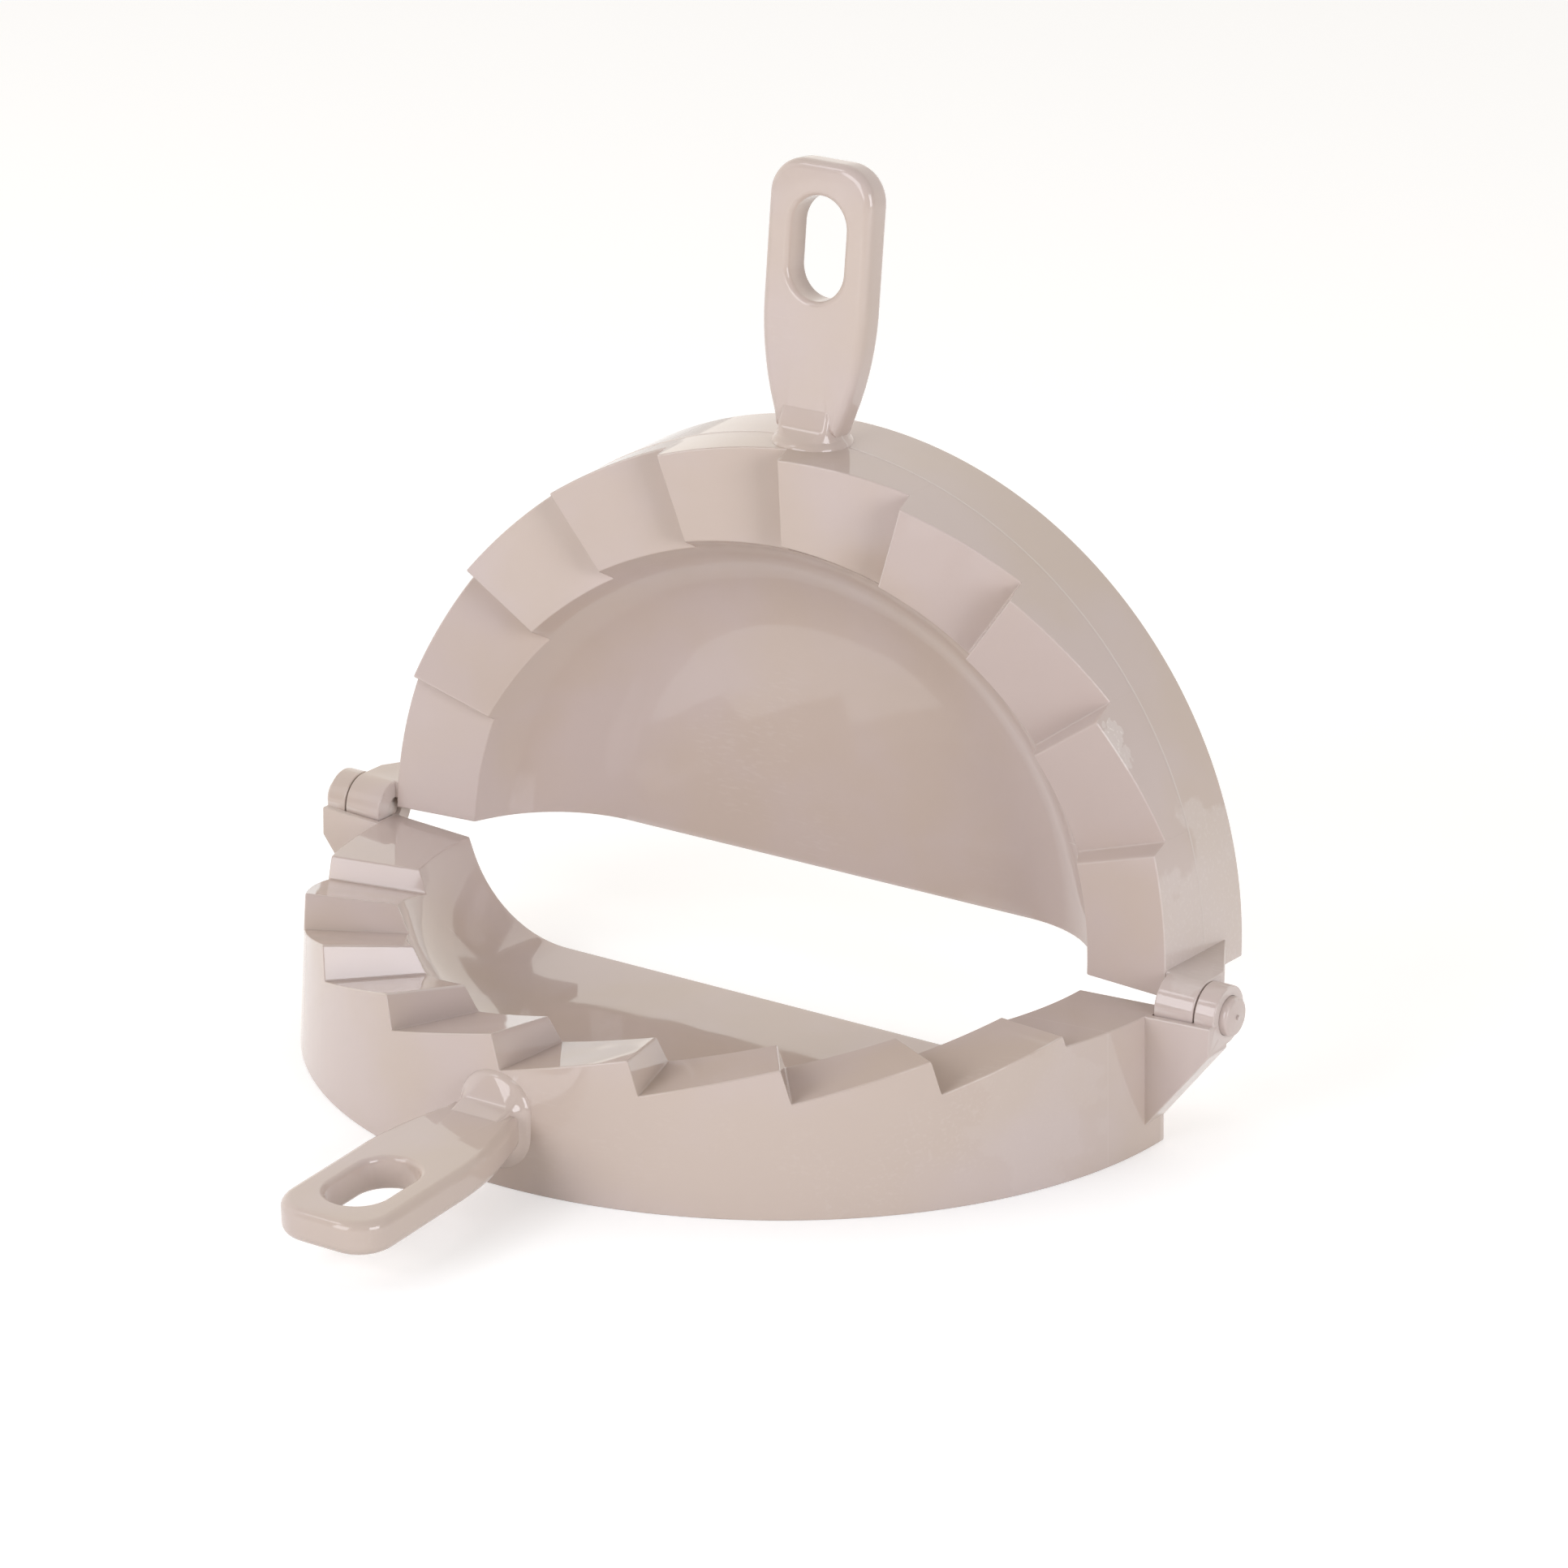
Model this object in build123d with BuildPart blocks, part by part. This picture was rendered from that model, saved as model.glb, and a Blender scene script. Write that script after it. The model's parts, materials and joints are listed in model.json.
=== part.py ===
"""Empanada press: two hinged jaws with a saw-toothed crimping rim, and their two hinge pins.

Units are millimetres and degrees.  The front jaw lies on its skirt on the plane Z = 0 with
its handle toward -Y, and the rear jaw stands open at a right angle to it.  The origin is on
that plane, under the middle of the press.  Each jaw is drawn in its own seat: a plane through
the centre of its half disc, in the crimp plane, with the hinge along its X direction, the
handle along its -Y direction and the rim facing its +Z.
"""
import os
from math import cos, radians, sin, tan

from build123d import *

seat_y = 52.0  # centre of the half discs, behind the middle of the press

# Jaw shell
rim_radius = 80.0  # outside of the rim, in the crimp plane
skirt_draft = 2.3  # angle of the skirt from upright
front_skirt_depth = 22.6
rear_skirt_depth = 21.8
wall = 2.0
rim_width = 18.0  # along a valley line, from the outer edge to the bowl
rim_floor = 5.4  # underside of the rim, below the crimp plane
web_reach = 5.0  # of the webs under the bowl, past its mouth

# Dough bowl
bowl_depth = 15.8
bowl_wall_angle = 22.0  # from upright
bowl_corner = 22.0

# Saw teeth: the lines of a facet run from the outer to the inner edge of the rim
tooth_count = 10
tooth_pitch = 180.0 / tooth_count
ridge_height = 3.5  # at the outer edge, above the crimp plane
valley_depth = 2.45  # at the outer edge, below the crimp plane
valley_fall = 0.9  # fall of a valley line from the outer to the inner edge
ridge_lag = 0.85  # angle from a pitch line back to the ridge
valley_lead = 0.5  # angle from a pitch line on to the valley
blank_height = 5.0  # top of the rim before the teeth are cut
cutter_height = 12.0
cutter_reach = 5.0  # past both edges of the rim
cutter_overrun = 3.0  # angle past the ridge

# Facets beside the hinge: outer height at the riser, at the hinge, and fall to the inner edge
front_end_facet = (1.5, 1.4, 0.9)
rear_end_facet = (1.6, 2.8, 1.7)

# Hinge
hinge_height = 2.4  # axis above each crimp plane
hinge_setback = 0.4  # axis behind each half disc's centre
knuckle_radius = 5.1
inner_knuckle_stand = 0.5  # outside the rim
inner_knuckle_length = 7.35
outer_knuckle_length = 3.85
knuckle_gap = 0.3
pocket_clearance = 0.3  # round the inner knuckle, in the front bracket
bracket_wall = 1.1  # front bracket, ahead of the pocket
bracket_drop = 5.6  # foot of a bracket's end face, below the axis
bracket_sink = 1.1  # of a bracket into the skirt's wall
bracket_foot = 2.4  # lowest point of a bracket, above the edge of the skirt
stop_gap = 0.15  # half of the play between the brackets when the press lies flat

# Hinge pins
pin_head_radius = 3.4
pin_running_clearance = 0.06
pin_shank_radius = 2.0
pin_shank_length = 6.6
pin_proud = 1.5
pin_edge = 0.4
gate_radius = 0.45
gate_length = 0.5

# Handle, its distances measured along it from the rim
front_handle_drop = 11.2  # middle of the handle at the rim, below the crimp plane
front_handle_tilt = 3.6  # angle at which the handle runs off the crimp plane
rear_handle_drop = 9.5
rear_handle_tilt = 4.7
handle_thickness = 6.0
handle_length = 48.6
handle_half_width = 10.45
handle_shoulder = 23.8  # where the full width starts
handle_root = 1.8
handle_root_half_width = 5.9
handle_corner = 6.6
handle_edge = 1.7
slot_width = 11.0
slot_length = 18.1
slot_end_wall = 5.9  # from the slot to the end of the handle
slot_edge = 1.0

# Neck of the handle: distance from the rim, width, height and corner radius
neck_collar = (-1.2, 13.8, 15.4, 6.2)
neck_waist = (1.0, 11.2, 9.6, 4.2)
neck_end = (5.0, 13.0, 5.9, 2.2)

bowl_mouth = rim_radius - rim_width
bowl_slope = tan(radians(bowl_wall_angle))
bowl_foot = bowl_mouth - (bowl_depth - valley_depth - valley_fall) * bowl_slope
corner_arc_x = bowl_foot - bowl_corner * tan(radians(90 - bowl_wall_angle) / 2)
corner_arc_height = bowl_corner - bowl_depth

hinge_y = seat_y + hinge_setback
hinge_z = front_skirt_depth + hinge_height
inner_knuckle_start = rim_radius + inner_knuckle_stand
inner_knuckle_end = inner_knuckle_start + inner_knuckle_length
outer_knuckle_start = inner_knuckle_end + knuckle_gap
outer_knuckle_end = outer_knuckle_start + outer_knuckle_length
bracket_root = rim_radius - bracket_sink
pocket_start = inner_knuckle_start - knuckle_gap
pocket_radius = knuckle_radius + pocket_clearance
inner_bracket_face = hinge_setback - knuckle_radius
outer_bracket_face = hinge_setback - pocket_radius - bracket_wall

front_seat = Plane(origin=(0, seat_y, front_skirt_depth), x_dir=(1, 0, 0), z_dir=(0, 0, 1))
rear_seat = Plane(
    origin=(0, hinge_y + hinge_height, hinge_z + hinge_setback), x_dir=(-1, 0, 0), z_dir=(0, -1, 0)
)


def skirt_radius(height):
    """Outside radius of the skirt at a height above the crimp plane."""
    return rim_radius - height * tan(radians(skirt_draft))


def rim_point(seat, radius, angle, height):
    """Point over the rim, its angle measured round the front from the seat's -X direction."""
    turn = radians(angle)
    return seat.from_local_coords(Vector(-radius * cos(turn), -radius * sin(turn), height))


def across(seat, y):
    """Plane across the seat at y: X along the hinge, Y up the seat, facing the handle."""
    return Plane(origin=seat.from_local_coords(Vector(0, y, 0)), x_dir=seat.x_dir, z_dir=-seat.y_dir)


def wall_arc(radius, height):
    """Distance out from the middle of the bowl's corner arc, or one parallel to it."""
    return corner_arc_x + (radius**2 - (corner_arc_height - height) ** 2) ** 0.5


def jaw_shell(seat, depth):
    """Skirt, rim and bowl as one half-round shell, with the rim still flat."""
    mouth = bowl_foot + (blank_height + bowl_depth) * bowl_slope
    with BuildPart() as shell:
        with BuildSketch(Plane(origin=seat.origin, x_dir=-seat.x_dir, z_dir=seat.y_dir)):
            with BuildLine():
                FilletPolyline(
                    (mouth, blank_height), (bowl_foot, -bowl_depth), (0, -bowl_depth), radius=bowl_corner
                )
                Polyline((0, -bowl_depth), (0, -bowl_depth - wall), (corner_arc_x, -bowl_depth - wall))
                TangentArc(
                    (corner_arc_x, -bowl_depth - wall),
                    (wall_arc(bowl_corner + wall, -rim_floor), -rim_floor),
                    tangent=(1, 0),
                )
                Polyline(
                    (wall_arc(bowl_corner + wall, -rim_floor), -rim_floor),
                    (skirt_radius(-rim_floor) - wall, -rim_floor),
                    (skirt_radius(-depth) - wall, -depth),
                    (skirt_radius(-depth), -depth),
                    (skirt_radius(blank_height), blank_height),
                    (mouth, blank_height),
                )
            make_face()
        revolve(axis=Axis(seat.origin, seat.z_dir), revolution_arc=180)
    return shell.part


def end_webs(seat, depth):
    """Webs on the hinge side that close the channel between the skirt and the bowl."""
    middle = bowl_corner + wall / 2
    web_top = wall / 2 - rim_floor
    web_foot = bowl_mouth - web_reach
    foot_rise = corner_arc_height - (middle**2 - (web_foot - corner_arc_x) ** 2) ** 0.5
    with BuildPart() as webs:
        with BuildSketch(across(seat, 0)):
            for side in (-1, 1):
                with BuildLine():
                    Polyline(
                        (side * web_foot, -depth),
                        (side * (skirt_radius(-depth) - wall / 2), -depth),
                        (side * (skirt_radius(web_top) - wall / 2), web_top),
                        (side * wall_arc(middle, web_top), web_top),
                        (side * web_foot, foot_rise),
                        (side * web_foot, -depth),
                    )
                make_face()
        extrude(amount=wall)
    return webs.part


def riser_angle(pitch_line, height):
    """Angle at which the outer edge of a riser passes a height above the crimp plane."""
    rise = (ridge_height - height) / (ridge_height + valley_depth)
    return pitch_line * tooth_pitch - ridge_lag + rise * (ridge_lag + valley_lead)


def tooth_cutters(seat, end_facet):
    """What is cut off the rim: one prism over the sloping facet of each pitch."""
    riser_side, hinge_side, end_fall = end_facet
    last = tooth_count - 1
    end_reach = outer_knuckle_end - rim_radius + cutter_reach
    first_low = (0, hinge_side)
    first_high = (riser_angle(1, riser_side), riser_side)
    last_low = (riser_angle(last, riser_side), riser_side)
    last_high = (180, hinge_side)
    with BuildPart() as cutters:
        add(facet_cutter(seat, first_low, first_high, end_fall, end_reach, (0, blank_height)))
        for pitch_line in range(1, last):
            low = (riser_angle(pitch_line, -valley_depth), -valley_depth)
            high = (riser_angle(pitch_line + 1, ridge_height), ridge_height)
            crest = (riser_angle(pitch_line, ridge_height), ridge_height)
            add(facet_cutter(seat, low, high, valley_fall, cutter_reach, crest))
        crest = (riser_angle(last, ridge_height), ridge_height)
        add(facet_cutter(seat, last_low, last_high, end_fall, end_reach, crest))
    return cutters.part


def facet_cutter(seat, low, high, fall, reach, crest):
    """Prism over the plane from a low to a high line, leaning up from the low line to a crest."""
    low_outer = rim_point(seat, rim_radius, *low)
    low_inner = rim_point(seat, bowl_mouth, low[0], low[1] - fall)
    high_outer = rim_point(seat, rim_radius, *high)
    outward = low_outer - low_inner
    facet = Plane(origin=low_outer, x_dir=outward, z_dir=outward.cross(high_outer - low_outer))
    far_angle = high[0] + cutter_overrun
    far_outer = facet.to_local_coords(rim_point(seat, rim_radius + reach, far_angle, high[1]))
    far_inner = facet.to_local_coords(rim_point(seat, bowl_mouth - cutter_reach, far_angle, high[1]))
    near_inner = bowl_mouth - rim_radius - cutter_reach
    start = 0 if low[0] > 0 else -cutter_overrun
    with BuildPart() as cutter:
        with BuildSketch(facet):
            with BuildLine():
                Polyline(
                    (reach, start),
                    (near_inner, start),
                    (far_inner.X, far_inner.Y),
                    (far_outer.X, far_outer.Y),
                    (reach, start),
                )
            make_face()
        extrude(amount=cutter_height, dir=rim_point(seat, rim_radius, *crest) - low_outer)
    return cutter.part


def brackets(seat, depth, face, end):
    """Triangular brackets that carry the knuckles, one at each end of the skirt."""
    back = hinge_setback - stop_gap
    with BuildPart() as pair:
        with BuildSketch(across(seat, back)):
            for side in (-1, 1):
                with BuildLine():
                    Polyline(
                        (side * bracket_root, hinge_height),
                        (side * end, hinge_height),
                        (side * end, hinge_height - bracket_drop),
                        (side * bracket_root, bracket_foot - depth),
                        (side * bracket_root, hinge_height),
                    )
                make_face()
        extrude(amount=back - face)
    return pair.part


def hinge_rods(seat, radius, start, end):
    """Two round rods on the hinge axis, from start to end on both sides of the middle."""
    with BuildPart() as rods:
        for side in (-1, 1):
            foot = seat.from_local_coords(Vector(side * start, hinge_setback, hinge_height))
            with BuildSketch(Plane(origin=foot, x_dir=seat.y_dir, z_dir=side * seat.x_dir)):
                Circle(radius)
            extrude(amount=end - start)
    return rods.part


def handle(seat, drop, tilt):
    """Flat handle with a hanging slot, and the flared neck that joins it to the skirt."""
    lean = radians(tilt)
    middle = Plane(
        origin=seat.from_local_coords(Vector(0, -rim_radius, -drop)),
        x_dir=seat.x_dir,
        z_dir=seat.z_dir * cos(lean) - seat.y_dir * sin(lean),
    )
    slot_middle = handle_length - slot_end_wall - slot_length / 2
    with BuildPart() as grip:
        with BuildSketch(middle):
            with BuildLine():
                Line((0, -handle_root), (handle_root_half_width, -handle_root))
                TangentArc(
                    (handle_half_width, -handle_shoulder),
                    (handle_root_half_width, -handle_root),
                    tangent=(0, 1),
                )
                FilletPolyline(
                    (handle_half_width, -handle_shoulder),
                    (handle_half_width, -handle_length),
                    (0, -handle_length),
                    radius=handle_corner,
                )
                mirror(about=Plane.YZ)
            make_face()
            with Locations((0, -slot_middle)):
                SlotOverall(slot_length, slot_width, rotation=90, mode=Mode.SUBTRACT)
        extrude(amount=handle_thickness / 2, both=True)
        flats = grip.faces().filter_by(middle)
        fillet([edge for flat in flats for edge in flat.inner_wires().edges()], slot_edge)
        outward = Axis(middle.origin, -middle.y_dir)
        rims = [flat.outer_wire().edges() for flat in grip.faces().filter_by(middle)]
        fillet([edge for rim in rims for edge in rim.sort_by(outward)[1:]], handle_edge)
        for stand, width, height, corner in (neck_collar, neck_waist, neck_end):
            with BuildSketch(across(seat, -rim_radius - stand)):
                with Locations((0, -drop - stand * tan(lean))):
                    RectangleRounded(width, height, corner)
        loft()
    return grip.part


def pin(side):
    """Hinge pin: a head that turns in the outer knuckle and a shank pressed into the inner one."""
    head_length = outer_knuckle_end + pin_proud - inner_knuckle_end
    head_foot = Plane(
        origin=(side * inner_knuckle_end, hinge_y, hinge_z), x_dir=(0, 1, 0), z_dir=(side, 0, 0)
    )
    with BuildPart() as piece:
        with BuildSketch(head_foot):
            Circle(pin_head_radius)
        extrude(amount=head_length)
        chamfer(piece.edges().sort_by(Axis(head_foot.origin, head_foot.z_dir))[-1], pin_edge)
        with BuildSketch(head_foot):
            Circle(pin_shank_radius)
        extrude(amount=-pin_shank_length)
        with BuildSketch(head_foot.offset(head_length)):
            Circle(gate_radius)
        extrude(amount=gate_length)
    return piece.part


with BuildPart() as front_jaw:
    add(jaw_shell(front_seat, front_skirt_depth))
    add(end_webs(front_seat, front_skirt_depth))
    add(handle(front_seat, front_handle_drop, front_handle_tilt))
    add(brackets(front_seat, front_skirt_depth, outer_bracket_face, outer_knuckle_end))
    add(tooth_cutters(front_seat, front_end_facet), mode=Mode.SUBTRACT)
    add(hinge_rods(front_seat, pocket_radius, pocket_start, outer_knuckle_start), mode=Mode.SUBTRACT)
    add(hinge_rods(front_seat, knuckle_radius, outer_knuckle_start, outer_knuckle_end))
    add(
        hinge_rods(
            front_seat,
            pin_head_radius + pin_running_clearance,
            outer_knuckle_start,
            outer_knuckle_end,
        ),
        mode=Mode.SUBTRACT,
    )

with BuildPart() as rear_jaw:
    add(jaw_shell(rear_seat, rear_skirt_depth))
    add(end_webs(rear_seat, rear_skirt_depth))
    add(handle(rear_seat, rear_handle_drop, rear_handle_tilt))
    add(brackets(rear_seat, rear_skirt_depth, inner_bracket_face, inner_knuckle_end))
    add(tooth_cutters(rear_seat, rear_end_facet), mode=Mode.SUBTRACT)
    add(hinge_rods(rear_seat, knuckle_radius, inner_knuckle_start, inner_knuckle_end))
    add(
        hinge_rods(rear_seat, pin_shank_radius, inner_knuckle_start, inner_knuckle_end),
        mode=Mode.SUBTRACT,
    )

os.makedirs("parts", exist_ok=True)
pieces = {
    "front_jaw": front_jaw.part,
    "rear_jaw": rear_jaw.part,
    "left_hinge_pin": pin(-1),
    "right_hinge_pin": pin(1),
}
for label, shape in pieces.items():
    shape.label = label
    export_step(shape, f"parts/{label}.step")
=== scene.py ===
"""Looks, stage and camera of the empanada press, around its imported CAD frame.

The frame is in metres: X runs along the hinge, the front jaw's handle points to -Y, and the press
stands on Z = 0.  Each jaw is drawn in millimetres in its own seat, whose origin is the centre of
the half disc, in the crimp plane, with the handle along -Y and the rim facing +Z.
"""
import json
from math import acos, atan2, cos, pi, radians, sin, tan

import bmesh
import bpy
from mathutils import Matrix, Vector

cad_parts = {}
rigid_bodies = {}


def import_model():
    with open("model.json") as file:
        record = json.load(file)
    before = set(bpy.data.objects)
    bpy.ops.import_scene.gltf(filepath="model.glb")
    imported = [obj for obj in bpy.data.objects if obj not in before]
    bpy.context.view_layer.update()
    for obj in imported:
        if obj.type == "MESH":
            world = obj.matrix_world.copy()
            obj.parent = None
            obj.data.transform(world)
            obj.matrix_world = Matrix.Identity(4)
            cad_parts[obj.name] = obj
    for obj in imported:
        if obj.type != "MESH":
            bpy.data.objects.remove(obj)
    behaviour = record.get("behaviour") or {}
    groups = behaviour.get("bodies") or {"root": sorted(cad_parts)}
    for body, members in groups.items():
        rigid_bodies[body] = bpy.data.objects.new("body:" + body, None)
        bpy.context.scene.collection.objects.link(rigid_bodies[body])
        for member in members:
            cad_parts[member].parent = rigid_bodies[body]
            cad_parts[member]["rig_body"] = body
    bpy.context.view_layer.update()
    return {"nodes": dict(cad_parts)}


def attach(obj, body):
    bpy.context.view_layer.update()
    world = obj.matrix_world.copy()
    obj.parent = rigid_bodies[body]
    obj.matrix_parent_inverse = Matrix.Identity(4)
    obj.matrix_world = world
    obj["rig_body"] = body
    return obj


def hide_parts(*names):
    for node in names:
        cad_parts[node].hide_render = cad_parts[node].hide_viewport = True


bl_info = {
    "name": "Empanada Press",
    "version": (1, 0, 0),
    "blender": (4, 5, 0),
    "location": "View3D > Sidebar > Press",
    "description": "Moulded jaws, hinge pins and stage of a hinged empanada press",
    "category": "Object",
}

MM = 0.001

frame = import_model()

# Sizes shared by both jaws, in millimetres
RIM_RADIUS = 80.0
RIM_WIDTH = 18.0
RIM_FLOOR = 5.4
SKIRT_DRAFT = tan(radians(2.3))
WALL = 2.0
WEB_REACH = 5.0
NOOK_RADIUS = 1.2
SEAM_HALF_WIDTHS = (0.36, 0.12)

# Bowl: its wall leans out by an angle, and meets the floor in a corner with a radius
BOWL_DEPTH = 15.8
BOWL_LEAN = 22.0
BOWL_SLOPE = tan(radians(BOWL_LEAN))
BOWL_CORNER = 22.0
WALL_TURN = radians(90.0 - BOWL_LEAN)
MOUTH_MARGIN = radians(2.5)

# Saw teeth: heights are from the crimp plane, and lag and lead are degrees round the rim
VALLEY_DEPTH = 2.45
VALLEY_FALL = 0.9
RIDGE_HEIGHT = 3.5
RIDGE_LAG = 0.85
VALLEY_LEAD = 0.5
TOOTH_COUNT = 10
TOOTH_PITCH = 180.0 / TOOTH_COUNT
RIDGE_ROUNDING = 0.75
VALLEY_ROUNDING = 0.6

BOWL_FOOT = RIM_RADIUS - RIM_WIDTH - (BOWL_DEPTH - VALLEY_DEPTH - VALLEY_FALL) * BOWL_SLOPE
CORNER_X = BOWL_FOOT - BOWL_CORNER * tan(WALL_TURN / 2)
CORNER_Z = BOWL_CORNER - BOWL_DEPTH

# Hinge: spans run along X, from the middle of the press outward
HINGE_HEIGHT = 2.4
HINGE_SETBACK = 0.4
KNUCKLE_RADIUS = 5.1
INNER_KNUCKLE = (80.5, 87.85)
OUTER_KNUCKLE = (88.15, 92.0)
POCKET_START = 80.2
POCKET_RADIUS = 5.4
BORE_OVERRUN = (0.5, 1.0)
BRACKET_ROOT = 78.9
BRACKET_DROP = 5.6
BRACKET_BACK = 0.25
BRACKET_FOOT = 2.4

PIN_TIP = 81.25
PIN_CHAMFER = 0.3
PIN_RADIUS = 2.0
PIN_HEAD = (87.85, 93.5)
PIN_HEAD_RADIUS = 3.4
PIN_HEAD_EDGE = 0.6
GATE_FOOT_RADIUS = 0.7
GATE_STEPS = ((93.6, 0.45), (94.0, 0.4))
AXIS_GAP = 0.02

# Handle: lengths run from the skirt's edge to the far end
HANDLE_LENGTH = 48.6
HANDLE_HALF_WIDTH = 10.45
HANDLE_HALF_THICKNESS = 3.0
HANDLE_SHOULDER = 23.8
HANDLE_ROOT = 1.8
HANDLE_ROOT_HALF_WIDTH = 5.9
HANDLE_CORNER = 6.6
HANDLE_EDGE = 1.7
SLOT_HALF_WIDTH = 5.5
SLOT_HALF_LENGTH = 9.05
SLOT_MIDDLE = 33.65
SLOT_EDGE = 1.0

# Neck: a collar round the handle's root, and a wedge on both faces of the plate
COLLAR_HALF_WIDTH = 7.2
COLLAR_FLAT = 0.3
COLLAR_MARGIN = 0.1
COLLAR_SINK = 1.2
COLLAR_STAND = -0.3
COLLAR_ROLL = 1.7
NECK_HOLLOW = 1.7
WEDGE_FOOT = 3.4
WEDGE_TIP = 6.4
WEDGE_HALF_WIDTH = 5.1
WEDGE_HALF_HEIGHT = 3.9
WEDGE_CORNER = 0.9
# Last two sections of the wedge: distance to its end, narrowing, rise over the plate, loss of corner
WEDGE_TIP_STEPS = ((0.3, 0.15, 0.16, 0.1), (0.0, 0.2, -0.08, 0.2))

SMOOTH_ANGLE = radians(38)


class Jaw:
    """What differs between the two jaws, in millimetres and degrees."""

    def __init__(self, node, origin, x_axis, z_axis, **sizes):
        x_axis, z_axis = Vector(x_axis), Vector(z_axis)
        turn = Matrix((x_axis, z_axis.cross(x_axis), z_axis)).transposed().to_4x4()
        self.seat = Matrix.Translation(Vector(origin) * MM) @ turn @ Matrix.Scale(MM, 4)
        self.node = node
        self.depth = sizes["depth"]
        self.drop = sizes["drop"]
        self.tilt = radians(sizes["tilt"])
        self.seam = sizes["seam"]
        self.riser_side, self.hinge_side = sizes["end_heights"]
        self.end_fall = sizes["end_fall"]
        self.knuckle = sizes["knuckle"]
        self.bore_radius = sizes["bore_radius"]
        self.bracket_reach = sizes["bracket_reach"]
        self.marks = sizes["marks"]


# The handle leaves the skirt a drop below the crimp plane, and points up by its tilt.  A mark is a pale
# place on the skirt: its centre in the frame of the whole press, its radius and its strength.
FRONT = Jaw(
    "front_jaw",
    origin=(0, 52.0, 22.6),
    x_axis=(1, 0, 0),
    z_axis=(0, 0, 1),
    depth=22.6,
    drop=11.2,
    tilt=3.6,
    seam=0.0,
    end_heights=(1.5, 1.4),
    end_fall=0.9,
    knuckle=OUTER_KNUCKLE,
    bore_radius=3.46,
    bracket_reach=6.1,
    marks=(((74.6, 21.8, 13.0), 13.0, 0.08),),
)
REAR = Jaw(
    "rear_jaw",
    origin=(0, 54.8, 25.4),
    x_axis=(-1, 0, 0),
    z_axis=(0, -1, 0),
    depth=21.8,
    drop=9.5,
    tilt=4.7,
    seam=0.12,
    end_heights=(1.6, 2.8),
    end_fall=1.7,
    knuckle=INNER_KNUCKLE,
    bore_radius=PIN_RADIUS,
    bracket_reach=4.7,
    marks=(
        # Rubbed place by the right end of the skirt, and also a painted reflection of the bright floor
        # there
        ((79.5, 68.0, 36.0), 18.5, 0.3),
        ((67.4, 53.6, 68.4), 3.0, 0.5),
        ((69.4, 53.9, 65.4), 2.2, 0.4),
    ),
)


# ---------------------------------------------------------------- small tools


def solid(name, points, faces, seat):
    """Closed mesh object from points in a seat, its faces turned outward."""
    mesh = bpy.data.meshes.new(name)
    mesh.from_pydata([seat @ Vector(point) for point in points], [], faces)
    cast = bmesh.new()
    cast.from_mesh(mesh)
    bmesh.ops.remove_doubles(cast, verts=cast.verts, dist=0.0001 * MM)
    bmesh.ops.recalc_face_normals(cast, faces=cast.faces)
    cast.to_mesh(mesh)
    cast.free()
    thing = bpy.data.objects.new(name, mesh)
    bpy.context.scene.collection.objects.link(thing)
    return thing


def tube_faces(rings, points, closed_rings=False, closed_points=True):
    """Quads between neighbouring rings of points."""
    last_ring = rings if closed_rings else rings - 1
    last_point = points if closed_points else points - 1
    return [
        (
            r * points + p,
            r * points + (p + 1) % points,
            (r + 1) % rings * points + (p + 1) % points,
            (r + 1) % rings * points + p,
        )
        for r in range(last_ring)
        for p in range(last_point)
    ]


def corner_arc(before, corner, after, radius, steps):
    """Points of the arc that rounds a corner between two straight runs."""
    before, corner, after = Vector(before), Vector(corner), Vector(after)
    back, on = (before - corner).normalized(), (after - corner).normalized()
    half = back.angle(on) / 2
    middle = corner + (back + on).normalized() * radius / sin(half)
    start = corner + back * radius / tan(half) - middle
    end = corner + on * radius / tan(half) - middle
    sweep = pi - 2 * half
    return [
        middle + (start * sin(sweep * (1 - i / steps)) + end * sin(sweep * i / steps)) / sin(sweep)
        for i in range(steps + 1)
    ]


def combine(base, others, operation):
    """Joins or cuts the base with the others, and removes them."""
    for other in others:
        modifier = base.modifiers.new(operation.title(), "BOOLEAN")
        modifier.operation = operation
        modifier.solver = "EXACT"
        modifier.object = other
    depsgraph = bpy.context.evaluated_depsgraph_get()
    mesh = bpy.data.meshes.new_from_object(base.evaluated_get(depsgraph))
    base.modifiers.clear()
    base.data = mesh
    for other in others:
        bpy.data.objects.remove(other)
    return base


def add_to(base, other):
    """Puts another closed solid into the base's mesh and removes it."""
    cast = bmesh.new()
    cast.from_mesh(base.data)
    cast.from_mesh(other.data)
    cast.to_mesh(base.data)
    cast.free()
    bpy.data.objects.remove(other)


# ---------------------------------------------------------------- saw teeth


def over_rim(radius, angle, height):
    """Point over the rim, its angle in degrees round the front from -X."""
    turn = radians(angle)
    return Vector((-radius * cos(turn), -radius * sin(turn), height))


def plane_height(a, b, c):
    """Height function of the plane through three points."""
    normal = (b - a).cross(c - a)
    return lambda x, y: a.z - (normal.x * (x - a.x) + normal.y * (y - a.y)) / normal.z


def riser_angle(pitch_line, height):
    """Angle at which the outer edge of a riser passes a height above the crimp plane."""
    rise = (RIDGE_HEIGHT - height) / (RIDGE_HEIGHT + VALLEY_DEPTH)
    return pitch_line * TOOTH_PITCH - RIDGE_LAG + rise * (RIDGE_LAG + VALLEY_LEAD)


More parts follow.
